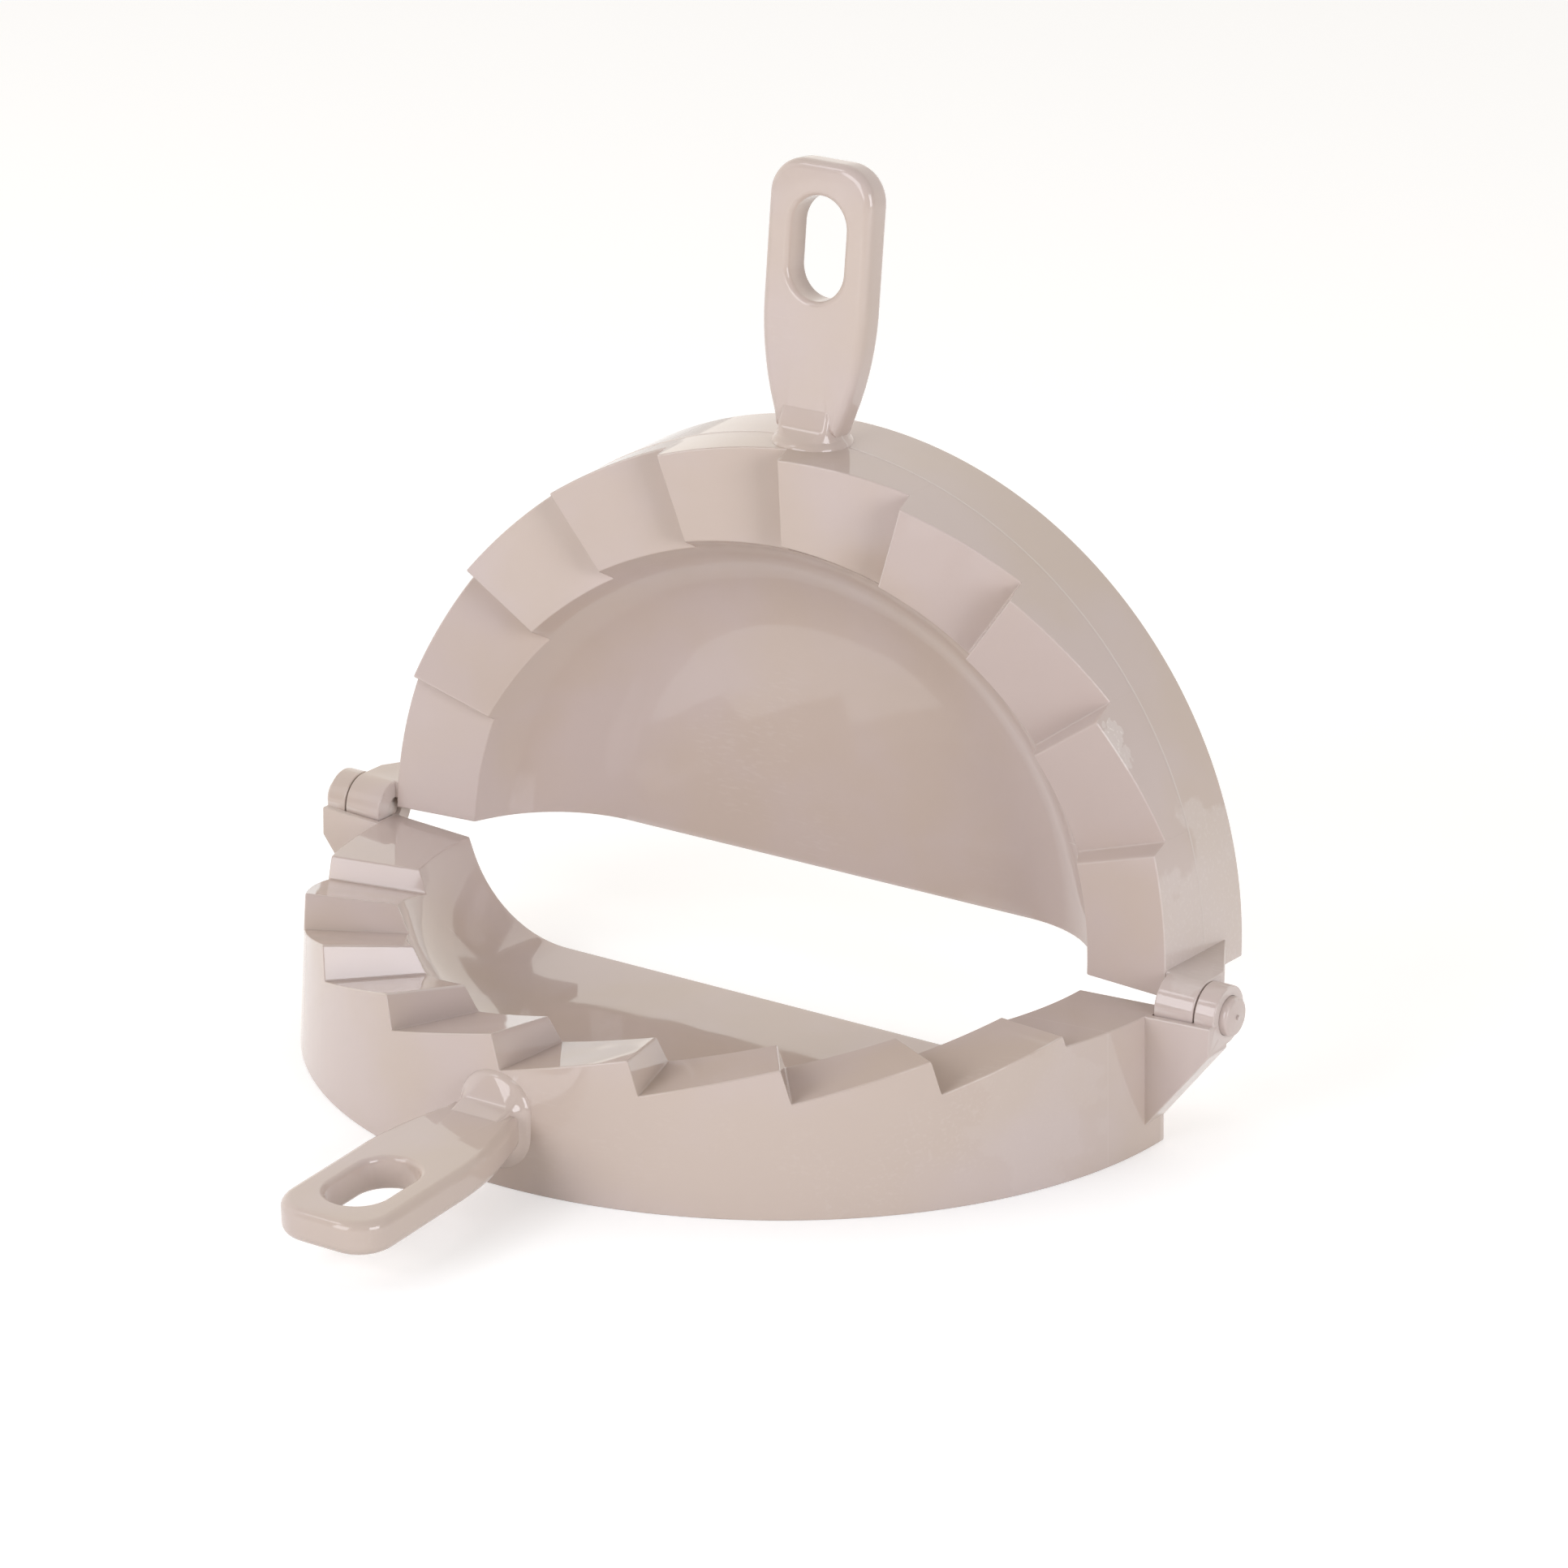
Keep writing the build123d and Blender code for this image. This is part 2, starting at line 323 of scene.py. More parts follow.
def rim_planes(jaw):
    """Facet and riser of each pitch as height functions, with the angle of the valley line."""
    last = TOOTH_COUNT - 1
    planes = []
    for pitch in range(TOOTH_COUNT):
        low = (riser_angle(pitch, -VALLEY_DEPTH), -VALLEY_DEPTH)
        high = (riser_angle(pitch + 1, RIDGE_HEIGHT), RIDGE_HEIGHT)
        fall = VALLEY_FALL
        if pitch == 0:
            low, fall = (0.0, jaw.hinge_side), jaw.end_fall
            high = (riser_angle(1, jaw.riser_side), jaw.riser_side)
        if pitch == last:
            low, fall = (riser_angle(last, jaw.riser_side), jaw.riser_side), jaw.end_fall
            high = (180.0, jaw.hinge_side)
        outer = over_rim(RIM_RADIUS, *low)
        inner = over_rim(RIM_RADIUS - RIM_WIDTH, low[0], low[1] - fall)
        facet = plane_height(outer, inner, over_rim(RIM_RADIUS, *high))
        crest = over_rim(RIM_RADIUS, riser_angle(pitch, RIDGE_HEIGHT), RIDGE_HEIGHT)
        riser = plane_height(outer, inner, crest) if pitch else None
        planes.append((low[0], facet, riser))
    return planes


def soft_min(a, b, width):
    """Smaller of two heights, rounded where they meet."""
    return min(a, b) - max(width - abs(a - b), 0.0) ** 2 / (4 * width)


def rim_height(planes, pitch, x, y):
    """Height of the rim near the ridge that ends a pitch."""
    heights = []
    for index in (pitch, pitch + 1):
        if index < TOOTH_COUNT:
            _, facet, riser = planes[index]
            height = facet(x, y)
            if riser:
                height = -soft_min(-height, -riser(x, y), VALLEY_ROUNDING)
            heights.append(height)
    return heights[0] if len(heights) == 1 else soft_min(*heights, RIDGE_ROUNDING)


def crest_angle(planes, pitch, radius):
    """Angle at which the ridge at the end of a pitch crosses a radius."""
    facet, riser = planes[pitch][1], planes[pitch + 1][2]
    high = planes[pitch + 1][0]
    low = high - 4.0
    for _ in range(30):
        middle = (low + high) / 2
        point = over_rim(radius, middle, 0)
        if facet(point.x, point.y) < riser(point.x, point.y):
            low = middle
        else:
            high = middle
    return (low + high) / 2


def rim_columns(planes):
    """Lines across the rim: pitch, and angle at its outer and inner edge.

    They crowd together beside each ridge and valley, where the rim is rounded.
    """
    near = (0.07, 0.15, 0.26, 0.45)
    facet_steps = 15
    radii = (RIM_RADIUS, RIM_RADIUS - RIM_WIDTH)
    last = TOOTH_COUNT - 1
    lines = [(0.0, 0.0)]
    for pitch in range(last):
        lines.append(tuple(crest_angle(planes, pitch, radius) for radius in radii))
        lines.append((planes[pitch + 1][0],) * 2)
    lines.append((180.0, 180.0))
    columns = []
    for index, (start, end) in enumerate(zip(lines, lines[1:])):
        pitch = min(index // 2, last)
        is_riser = index % 2 == 1
        room = min(radians(b - a) * radius for a, b, radius in zip(start, end, radii)) / 2.2
        after = [0.0] if index == 0 else [0.0, *(min(1.0, room / near[-1]) * n for n in near)]
        before = [0.0] if index == len(lines) - 2 else after[:0:-1]
        if index == 0:
            before = list(reversed(near))
        if index == len(lines) - 2:
            after, before = [0.0, *near], [0.0]
        shares = [(0.0, n) for n in after] + [(1.0, -n) for n in before]
        if not is_riser:
            middle = [((step + 1) / facet_steps, 0.0) for step in range(facet_steps - 1)]
            shares = shares[: len(after)] + middle + shares[len(after) :]
        for share, offset in shares:
            angles = (a + (b - a) * share + offset / r * 180 / pi for a, b, r in zip(start, end, radii))
            columns.append((pitch, *angles))
    return columns


# ---------------------------------------------------------------- jaw parts


def skirt_radius(height):
    """Radius of the drafted skirt at a height."""
    return RIM_RADIUS - height * SKIRT_DRAFT


def wall_radius(height):
    """Radius of the bowl's wall: straight at the top, and its corner arc further down."""
    turn = corner_turn(height)
    if turn < WALL_TURN:
        return CORNER_X + BOWL_CORNER * sin(turn)
    return BOWL_FOOT + (height + BOWL_DEPTH) * BOWL_SLOPE


def corner_turn(height):
    """Turn from -Z round the bowl's corner arc at a height."""
    return acos(max(-1.0, min(1.0, (CORNER_Z - height) / BOWL_CORNER)))


def arc_round_bowl(radius, first, last, steps):
    """Points round the centre of the bowl's corner, from one turn to another."""
    turns = [first + (last - first) * i / steps for i in range(steps + 1)]
    return [(CORNER_X + radius * sin(t), CORNER_Z - radius * cos(t)) for t in turns]


def shell_profile(jaw, outer_height, inner_height, edge, inset):
    """Outline of the shell at one column, from the bowl's floor round to its underside.

    The inset draws the visible side in, where the edges of the cut face are rounded.
    """
    mouth = (wall_radius(inner_height) + inset, inner_height - inset)
    lip = (skirt_radius(outer_height) - inset, outer_height - inset)
    foot = (skirt_radius(-jaw.depth) - inset, -jaw.depth)
    heel = (skirt_radius(-jaw.depth) - WALL, -jaw.depth)
    nook = (skirt_radius(-RIM_FLOOR) - WALL, -RIM_FLOOR)
    turn = min(WALL_TURN, corner_turn(inner_height) - MOUTH_MARGIN)
    bowl = arc_round_bowl(BOWL_CORNER + inset, 0, turn, 14)
    outer_turn = BOWL_CORNER + WALL
    reach = (outer_turn**2 - (CORNER_Z + RIM_FLOOR) ** 2) ** 0.5
    underside = arc_round_bowl(outer_turn, atan2(reach, CORNER_Z + RIM_FLOOR), 0, 12)
    foot_half, top_half = SEAM_HALF_WIDTHS
    seam = [
        (skirt_radius(-jaw.drop + up) + out - inset, -jaw.drop + up)
        for up, out in ((foot_half, 0.0), (top_half, jaw.seam), (-top_half, jaw.seam), (-foot_half, 0.0))
    ]
    return [
        *bowl,
        *corner_arc(bowl[-1], mouth, lip, edge, 4),
        *corner_arc(mouth, lip, foot, edge, 4),
        *seam,
        *corner_arc(lip, foot, heel, edge, 3),
        *corner_arc(foot, heel, nook, edge, 3),
        *corner_arc(heel, nook, underside[0], NOOK_RADIUS, 3),
        *underside,
    ]


def jaw_shell(jaw, edge):
    """Skirt, toothed rim and bowl of a jaw, swept round from end to end."""
    planes = rim_planes(jaw)
    inner_radius = RIM_RADIUS - RIM_WIDTH
    turns = (0, pi / 6, pi / 3)
    rounding = [(edge * (1 - cos(turn)), edge * (1 - sin(turn))) for turn in turns]
    columns = rim_columns(planes)
    columns = [
        *((cut, inset, *columns[0]) for cut, inset in rounding),
        (edge, 0.0, *columns[0]),
        *((0.0, 0.0, *column) for column in columns[1:-1]),
        (edge, 0.0, *columns[-1]),
        *((cut, inset, *columns[-1]) for cut, inset in reversed(rounding)),
    ]
    points = []
    for cut, inset, pitch, outer_angle, inner_angle in columns:
        place = over_rim(RIM_RADIUS, outer_angle, 0)
        outer_height = rim_height(planes, pitch, place.x, place.y)
        inner_height = -VALLEY_DEPTH
        for _ in range(3):
            place = over_rim(wall_radius(inner_height), inner_angle, 0)
            inner_height = rim_height(planes, pitch, place.x, place.y)
        for radius, height in shell_profile(jaw, outer_height, inner_height, edge, inset):
            share = min(max((radius - inner_radius) / RIM_WIDTH, 0.0), 1.0)
            point = over_rim(radius, inner_angle + (outer_angle - inner_angle) * share, height)
            points.append(point - Vector((0, cut, 0)))
    rings, size = len(columns), len(points) // len(columns)
    faces = tube_faces(rings, size, closed_points=False)
    first, last = len(rounding), rings - len(rounding)
    floor_line = [ring * size for ring in range(rings)]
    faces.append(floor_line[first:last])
    for k in range(first):
        faces.append([floor_line[k], floor_line[k + 1], floor_line[-2 - k], floor_line[-1 - k]])
    faces.append([ring * size + size - 1 for ring in reversed(range(rings))])
    faces.append([*range(size), *reversed(range((rings - 1) * size, rings * size))])
    return solid(jaw.node + "_shell", points, faces, jaw.seat)


def prism(name, outline, near, far, seat, edge):
    """Solid with the same outline in X and Z from one Y to another, its edges rounded."""
    count = len(outline)
    points = [(x, y, z) for y in (near, far) for x, z in outline]
    faces = [tuple(range(count)), tuple(reversed(range(count, 2 * count)))]
    faces += [(i, (i + 1) % count, count + (i + 1) % count, count + i) for i in range(count)]
    piece = solid(name, points, faces, seat)
    if edge:
        cast = bmesh.new()
        cast.from_mesh(piece.data)
        bmesh.ops.bevel(
            cast, geom=cast.edges, offset=edge * MM, segments=3, profile=0.5, affect="EDGES"
        )
        cast.to_mesh(piece.data)
        cast.free()
    return piece


def lathe(name, outline, seat, y, z, steps=64):
    """Solid of revolution about an axis along X, from pairs of X and radius."""
    points = [
        (x, y + radius * cos(2 * pi * i / steps), z + radius * sin(2 * pi * i / steps))
        for x, radius in outline
        for i in range(steps)
    ]
    return solid(name, points, tube_faces(len(outline), steps, closed_rings=True), seat)


def rounded_loop(corners, radii, steps=3):
    """Closed outline with each corner rounded by its own radius."""
    loop = []
    for i, radius in enumerate(radii):
        if radius:
            loop += corner_arc(corners[i - 1], corners[i], corners[(i + 1) % len(corners)], radius, steps)
        else:
            loop.append(Vector(corners[i]))
    return loop


def knuckle_rod(name, side, span, seat, edge):
    """Knuckle as a solid rod along the hinge, with rounded edges, on one side of the middle."""
    near, far = (side * x for x in span)
    axis = AXIS_GAP / 2
    corners = [(near, axis), (near, KNUCKLE_RADIUS), (far, KNUCKLE_RADIUS), (far, axis)]
    return lathe(name, rounded_loop(corners, (0, edge, edge, 0)), seat, HINGE_SETBACK, HINGE_HEIGHT)


def rod(name, side, span, radius, seat, steps=64):
    """Plain round cutter along the hinge, on one side of the middle."""
    turns = [2 * pi * i / steps for i in range(steps)]
    points = [
        (side * x, HINGE_SETBACK + radius * cos(turn), HINGE_HEIGHT + radius * sin(turn))
        for x in span
        for turn in turns
    ]
    ends = [tuple(range(steps)), tuple(reversed(range(steps, 2 * steps)))]
    return solid(name, points, tube_faces(2, steps) + ends, seat)


def web_outline(jaw, side):
    """Outline of the web that closes the channel between the skirt and the bowl."""
    web_foot = RIM_RADIUS - RIM_WIDTH - WEB_REACH
    top = WALL / 2 - RIM_FLOOR
    middle = BOWL_CORNER + WALL / 2
    arc_x = CORNER_X + (middle**2 - (CORNER_Z - top) ** 2) ** 0.5
    foot_rise = CORNER_Z - (middle**2 - (web_foot - CORNER_X) ** 2) ** 0.5
    return [
        (side * web_foot, -jaw.depth),
        (side * (skirt_radius(-jaw.depth) - WALL / 2), -jaw.depth),
        (side * (skirt_radius(top) - WALL / 2), top),
        (side * arc_x, top),
        (side * web_foot, foot_rise),
    ]


def bracket_outline(jaw, side, end):
    """Outline of the triangular bracket under a knuckle, its top no higher than the end facet."""
    facet = rim_planes(jaw)[0 if side < 0 else -1][1]
    tops = [min(facet(side * x, 0), HINGE_HEIGHT) for x in (BRACKET_ROOT, end)]
    return [
        (side * BRACKET_ROOT, tops[0]),
        (side * end, tops[1]),
        (side * end, HINGE_HEIGHT - BRACKET_DROP),
        (side * BRACKET_ROOT, BRACKET_FOOT - jaw.depth),
    ]


# ---------------------------------------------------------------- handle


def handle_frame(jaw):
    """Frame of the handle's middle plane, its origin under the rim."""
    place = Matrix.Translation((0, -RIM_RADIUS, -jaw.drop))
    return jaw.seat @ place @ Matrix.Rotation(jaw.tilt, 4, "X")


def handle_outline():
    """Half outline of the plate as points from the root to the far end."""
    width, root, shoulder = HANDLE_HALF_WIDTH, HANDLE_ROOT_HALF_WIDTH, HANDLE_SHOULDER
    rise, run = shoulder - HANDLE_ROOT, width - root
    bend = (rise**2 + run**2) / (2 * run)
    sweep = atan2(rise, bend - run)
    waist = [
        (width - bend + bend * cos(sweep * i / 24), -shoulder + bend * sin(sweep * i / 24))
        for i in range(24, -1, -1)
    ]
    corner = corner_arc(
        (width, -shoulder), (width, -HANDLE_LENGTH), (0, -HANDLE_LENGTH), HANDLE_CORNER, 20
    )
    return [(0, -HANDLE_ROOT), *waist, *((p.x, p.y) for p in corner), (0, -HANDLE_LENGTH)]


def ray_hit(outline, direction):
    """Point and outward normal where a ray from the slot's middle leaves the half outline."""
    for (ax, ay), (bx, by) in zip(outline, outline[1:]):
        ay, by = ay + SLOT_MIDDLE, by + SLOT_MIDDLE
        run, rise = bx - ax, by - ay
        cross = direction.x * rise - direction.y * run
        if abs(cross) < 1e-9:
            continue
        share = (direction.y * ax - direction.x * ay) / cross
        reach = (ax * rise - ay * run) / cross
        if -1e-6 <= share <= 1 + 1e-6 and reach > 0:
            normal = Vector((-rise, run)).normalized()
            return Vector((direction.x * reach, direction.y * reach - SLOT_MIDDLE)), normal
    raise ValueError("the ray misses the outline")


def slot_hit(direction):
    """Point and normal, away from the slot, where a ray from its middle leaves the slot."""
    straight = SLOT_HALF_LENGTH - SLOT_HALF_WIDTH
    reach = SLOT_HALF_WIDTH / max(direction.x, 1e-9)
    if abs(direction.y * reach) <= straight:
        return Vector((SLOT_HALF_WIDTH, direction.y * reach - SLOT_MIDDLE)), Vector((1, 0))
    centre = Vector((0, straight if direction.y > 0 else -straight))
    along = direction.dot(centre)
    reach = along + (along**2 - centre.length_squared + SLOT_HALF_WIDTH**2) ** 0.5
    point = direction * reach
    return point - Vector((0, SLOT_MIDDLE)), (point - centre).normalized()


def handle_plate(jaw):
    """Flat handle with its slot: a ring of cross-sections round the slot."""
    outline = handle_outline()
    half = HANDLE_HALF_THICKNESS
    half_rays, arc = 52, 6
    steps = [pi / 2 * s / arc for s in range(arc + 1)]
    rings = []
    for i in range(2 * half_rays):
        turn = pi * i / half_rays
        mirror = 1 if i <= half_rays else -1
        direction = Vector((abs(sin(turn)), cos(turn)))
        outer, outer_normal = ray_hit(outline, direction)
        inner, inner_normal = slot_hit(direction)
        if outer_normal.dot(direction) < 0:
            outer_normal = -outer_normal
        ring = []
        for up in (-1, 1):
            rise = [
                (outer - outer_normal * HANDLE_EDGE * (1 - cos(s)), half - HANDLE_EDGE * (1 - sin(s)))
                for s in steps
            ]
            rise += [
                (inner + inner_normal * SLOT_EDGE * (1 - cos(s)), half - SLOT_EDGE * (1 - sin(s)))
                for s in reversed(steps)
            ]
            if up < 0:
                rise.reverse()
            ring += [(mirror * p.x, p.y, up * z) for p, z in rise]
        rings.append(ring)
    points = [point for ring in rings for point in ring]
    faces = tube_faces(len(rings), len(rings[0]), closed_rings=True)
    return solid(jaw.node + "_handle", points, faces, handle_frame(jaw))


def neck_sections(jaw):
    """Stand from the skirt, half width, half height and corner of the neck's cross-sections.

    A round collar with a rolled edge sinks in a hollow sweep to a wedge on both faces of the plate.
    """
    width, height = COLLAR_HALF_WIDTH, jaw.drop - VALLEY_DEPTH - COLLAR_MARGIN
    sections = [(-COLLAR_SINK, width, height, width - COLLAR_FLAT)]
    for i in range(6):
        turn = radians(12.0 * i)
        shrink = COLLAR_ROLL * (1 - cos(turn))
        stand = COLLAR_STAND + COLLAR_ROLL * sin(turn)
        sections.append((stand, width - shrink, height - shrink, width - COLLAR_FLAT - shrink))
    start, wide, tall, corner = sections[-1]
    for i in range(1, 9):
        sink = 1 - (1 - i / 8) ** NECK_HOLLOW
        sections.append(
            (
                start + (WEDGE_FOOT - start) * i / 8,
                wide + (WEDGE_HALF_WIDTH - wide) * sink,
                tall + (WEDGE_HALF_HEIGHT - tall) * sink,
                corner + (WEDGE_CORNER - corner) * sink,
            )
        )
    for back, narrower, rise, sharper in WEDGE_TIP_STEPS:
        half_width, half_height = WEDGE_HALF_WIDTH - narrower, HANDLE_HALF_THICKNESS + rise
        sections.append((WEDGE_TIP - back, half_width, half_height, WEDGE_CORNER - sharper))
    return sections


def handle_neck(jaw):
    """Collar and wedges that carry the plate into the skirt."""
    sections = neck_sections(jaw)
    steps = 12
    points = []
    for stand, half_width, half_height, corner in sections:
        corner = min(corner, half_width - 0.05, half_height - 0.05)
        corners = [(sx * half_width, sy * half_height) for sx, sy in ((1, 1), (-1, 1), (-1, -1), (1, -1))]
        middle = -jaw.drop - stand * tan(jaw.tilt)
        loop = rounded_loop(corners, (corner,) * 4, steps)
        points += [(p.x, -RIM_RADIUS - stand, middle + p.y) for p in loop]
    size = len(points) // len(sections)
    faces = tube_faces(len(sections), size)
    faces += [tuple(range(size)), tuple(reversed(range(len(points) - size, len(points))))]
    return solid(jaw.node + "_neck", points, faces, jaw.seat)


# ---------------------------------------------------------------- settings


class PressPlastic(bpy.types.PropertyGroup):
    """The glossy plastic that both jaws and the pins are moulded from."""

    colour: bpy.props.FloatVectorProperty(
        name="Colour",
        description="Main colour of the plastic",
        default=(0.585, 0.487, 0.447),
        min=0.0,
        max=1.0,
        size=3,
        subtype="COLOR",
    )
    deep_colour: bpy.props.FloatVectorProperty(
        name="Deep Colour",
        description="Slightly yellower colour of the clouds in the plastic",
        default=(0.575, 0.472, 0.405),
        min=0.0,
        max=1.0,
        size=3,
        subtype="COLOR",
    )
    # Also paints highlight on edges and along the rear seam, and a reflection on the rear skirt
    scuff_and_highlight_colour: bpy.props.FloatVectorProperty(
        name="Scuff Colour",
        description="Paler colour of rubbed places, edges and mould seams",
        default=(0.78, 0.73, 0.69),
        min=0.0,
        max=1.0,
        size=3,
        subtype="COLOR",
    )
    roughness: bpy.props.FloatProperty(
        name="Roughness",
        description="Roughness of the polished mould faces",
        default=0.045,
        min=0.0,
        max=1.0,
        subtype="FACTOR",
    )
    edge_radius: bpy.props.FloatProperty(
        name="Edge Radius",
        description="Rounding of the moulded edges",
        default=0.28 * MM,
        min=0.05 * MM,
        max=1.0 * MM,
        precision=5,
        subtype="DISTANCE",
        unit="LENGTH",
    )


class PressStage(bpy.types.PropertyGroup):
    """Floor, lamps and camera."""

    floor_colour: bpy.props.FloatVectorProperty(
        name="Floor Colour",
        description="Colour of the floor where no shadow falls on it",
        default=(0.9, 0.9, 0.9),
        min=0.0,
        max=1.0,
        size=3,
        subtype="COLOR",
    )
    softbox_power: bpy.props.FloatProperty(
        name="Softbox Power",
        description="Power that each softbox has a share of",
        default=10.0,
        min=0.0,
        max=100.0,
        unit="POWER",
    )
    softbox_colour: bpy.props.FloatVectorProperty(
        name="Softbox Colour",
        description="Cool white of the softboxes",
        default=(0.93, 0.94, 1.0),
        min=0.0,
        max=1.0,
        size=3,
        subtype="COLOR",
    )
    room_colour: bpy.props.FloatVectorProperty(
        name="Room Colour",
        description="Warm white of the light from the backdrop",
        default=(1.0, 0.965, 0.91),
        min=0.0,
        max=1.0,
        size=3,
        subtype="COLOR",
    )
    floor_lift: bpy.props.FloatProperty(
        name="Floor Lift",
        description="Glow that takes the floor to white where it is seen or mirrored",
        default=0.34,
        min=0.0,
        max=1.0,
    )
    room_front: bpy.props.FloatProperty(
        name="Room Light In Front",
        description="Strength of the even light from the camera's side of the room",
        default=0.22,
        min=0.0,
        max=3.0,
    )
    room_back: bpy.props.FloatProperty(
        name="Room Light Behind",
        description="Strength of the even light from behind the press",
        default=1.35,
        min=0.0,
        max=3.0,
    )
    focal_length: bpy.props.FloatProperty(
        name="Focal Length",
        description="Focal length of the camera, on a sensor 36 mm wide",
        default=143.03,
        min=10.0,
        max=500.0,
        subtype="DISTANCE_CAMERA",
    )


# ---------------------------------------------------------------- materials

PLASTIC_IOR = 1.5

# Noise scales, per metre
CLOUD_SCALE = 30.0
HAZE_SCALE = 70.0
WAVE_SCALE = 42.0
SCUFF_PATCH_SCALE = 24.0
SCUFF_STROKE_SCALE = 1500.0

# Shares of the scuff colour, which also paints highlight on edges and along the rear seam
SCUFF_STRENGTH = 0.1
EDGE_HIGHLIGHT_STRENGTH = 0.3
SEAM_HIGHLIGHT_AND_LINE_STRENGTH = 0.3
MOULD_LINE_SHARE = 0.25

# Roughness added to the plastic's own
HAZE_SPREAD = 0.015
SCUFF_ROUGHNESS = 0.5

# Millimetres
WAVE_HEIGHT = 0.3
SCUFF_HEIGHT = 0.012
SEAM_HIGHLIGHT_HALF_WIDTH = 0.28
MOULD_LINE_HALF_WIDTH = 0.25
MOULD_LINE_Y = 36.1

# Ranges of the distance from a jaw's axis over which the marks set in, and the painted highlight along
# the rear seam comes and goes
MARKS_BEGIN = ((RIM_RADIUS - 0.5) * MM, (RIM_RADIUS - 0.1) * MM)
SEAM_HIGHLIGHT_BEGINS = ((RIM_RADIUS - 1.5) * MM, (RIM_RADIUS - 1.0) * MM)
SEAM_HIGHLIGHT_ENDS = ((RIM_RADIUS + 2.0) * MM, (RIM_RADIUS + 2.5) * MM)

# Rubbed patch, as shares of its radius: depth of its tears, start of its fade, and size of the tears
TEAR_DEPTH = 0.4
TEAR_FADE = 0.86
TEAR_FINENESS = 1.6


def noise(tree, place, scale, detail, stretch=None):
    """Noise texture of a size, in object space, stretched along some axes."""
    texture = tree.nodes.new("ShaderNodeTexNoise")
    texture.inputs["Scale"].default_value = scale
    texture.inputs["Detail"].default_value = detail
    source = place.outputs["Object"]
    if stretch:
        mapping = tree.nodes.new("ShaderNodeMapping")
        mapping.inputs["Scale"].default_value = stretch
        tree.links.new(source, mapping.inputs["Vector"])
        source = mapping.outputs["Vector"]
    tree.links.new(source, texture.inputs["Vector"])
    return texture.outputs["Fac"]


def spread(tree, value, low, high, to_low=0.0, to_high=1.0):
    """Maps a value smoothly from one range onto another."""
    node = tree.nodes.new("ShaderNodeMapRange")
    node.interpolation_type = "SMOOTHSTEP"
    node.inputs["From Min"].default_value = low
    node.inputs["From Max"].default_value = high
    node.inputs["To Min"].default_value = to_low
    node.inputs["To Max"].default_value = to_high
    tree.links.new(value, node.inputs["Value"])
    return node.outputs["Result"]


def arithmetic(tree, operation, *values):
    """Result of a sum on values, each a number or a socket."""
    node = tree.nodes.new("ShaderNodeMath")
    node.operation = operation
    for socket, value in zip(node.inputs, values):
        if isinstance(value, (int, float)):
            socket.default_value = value
        else:
            tree.links.new(value, socket)
    return node.outputs["Value"]


def product(tree, first, *others):
    """Product of sockets and numbers."""
    for other in others:
        first = arithmetic(tree, "MULTIPLY", first, other)
    return first


def vector(tree, operation, value, constant, output="Vector"):
    """Result of a vector sum between a socket and a constant."""
    node = tree.nodes.new("ShaderNodeVectorMath")
    node.operation = operation
    tree.links.new(value, node.inputs[0])
    node.inputs[1].default_value = constant
    return node.outputs[output]


def torn_patch(tree, place, centre, radius):
    """1 in a patch with a torn edge round a point of the press, in millimetres, and 0 outside it."""
    distance = vector(tree, "DISTANCE", place.outputs["Object"], Vector(centre) * MM, "Value")
    radius *= MM
    depth = TEAR_DEPTH * radius
    tear = spread(tree, noise(tree, place, TEAR_FINENESS / radius, 6.0), 0.25, 0.75, -depth, depth)
    return spread(tree, arithmetic(tree, "ADD", distance, tear), TEAR_FADE * radius, radius, 1.0, 0.0)


def near_plane(tree, position, point, normal, half_width):
    """1 in a thin slice through a point, and 0 outside it."""
    away = vector(tree, "SUBTRACT", position, point)
    height = vector(tree, "DOT_PRODUCT", away, normal, "Value")
    return spread(tree, arithmetic(tree, "ABSOLUTE", height), 0.4 * half_width, half_width, 1.0, 0.0)


def reach_from_middle(tree, position, jaw):
    """Distance from a jaw's own upright axis, through the middle of its half disc."""
    axis = jaw.seat.to_3x3().col[2].normalized()
    away = vector(tree, "SUBTRACT", position, jaw.seat.translation)
    level = vector(tree, "MULTIPLY", away, [1 - abs(part) for part in axis])
    return vector(tree, "LENGTH", level, (0, 0, 0), "Value")


def seam_highlight_and_mould_line(tree, position, jaw, reach):
    """Pale lines where parts of the mould met: round the rear skirt, a painted highlight along the seam's
    ridge, and up the front one by the right hinge, a pale mould line.
    """
    if jaw is FRONT:
        line = Vector((0, MOULD_LINE_Y * MM, 0))
        upright = near_plane(tree, position, line, (0, 1, 0), MOULD_LINE_HALF_WIDTH * MM)
        right_side = spread(tree, vector(tree, "DOT_PRODUCT", position, (1, 0, 0), "Value"), 0.0, 0.06)
        return product(tree, upright, right_side, MOULD_LINE_SHARE)
    # Rear: the pale band along the seam is painted highlight on the seam's ridge
    middle, axis = jaw.seat.translation, jaw.seat.to_3x3().col[2].normalized()
    outside = spread(tree, reach, *SEAM_HIGHLIGHT_BEGINS)
    before_handle = spread(tree, reach, *SEAM_HIGHLIGHT_ENDS, 1.0, 0.0)
    seam = near_plane(tree, position, middle - axis * jaw.drop * MM, axis, SEAM_HIGHLIGHT_HALF_WIDTH * MM)
    return product(tree, seam, outside, before_handle)


def bump(tree, height, distance, below=None):
    """Normal that a height gives, on top of another normal."""
    node = tree.nodes.new("ShaderNodeBump")
    node.inputs["Distance"].default_value = distance
    tree.links.new(height, node.inputs["Height"])
    if below:
        tree.links.new(below, node.inputs["Normal"])
    return node.outputs["Normal"]


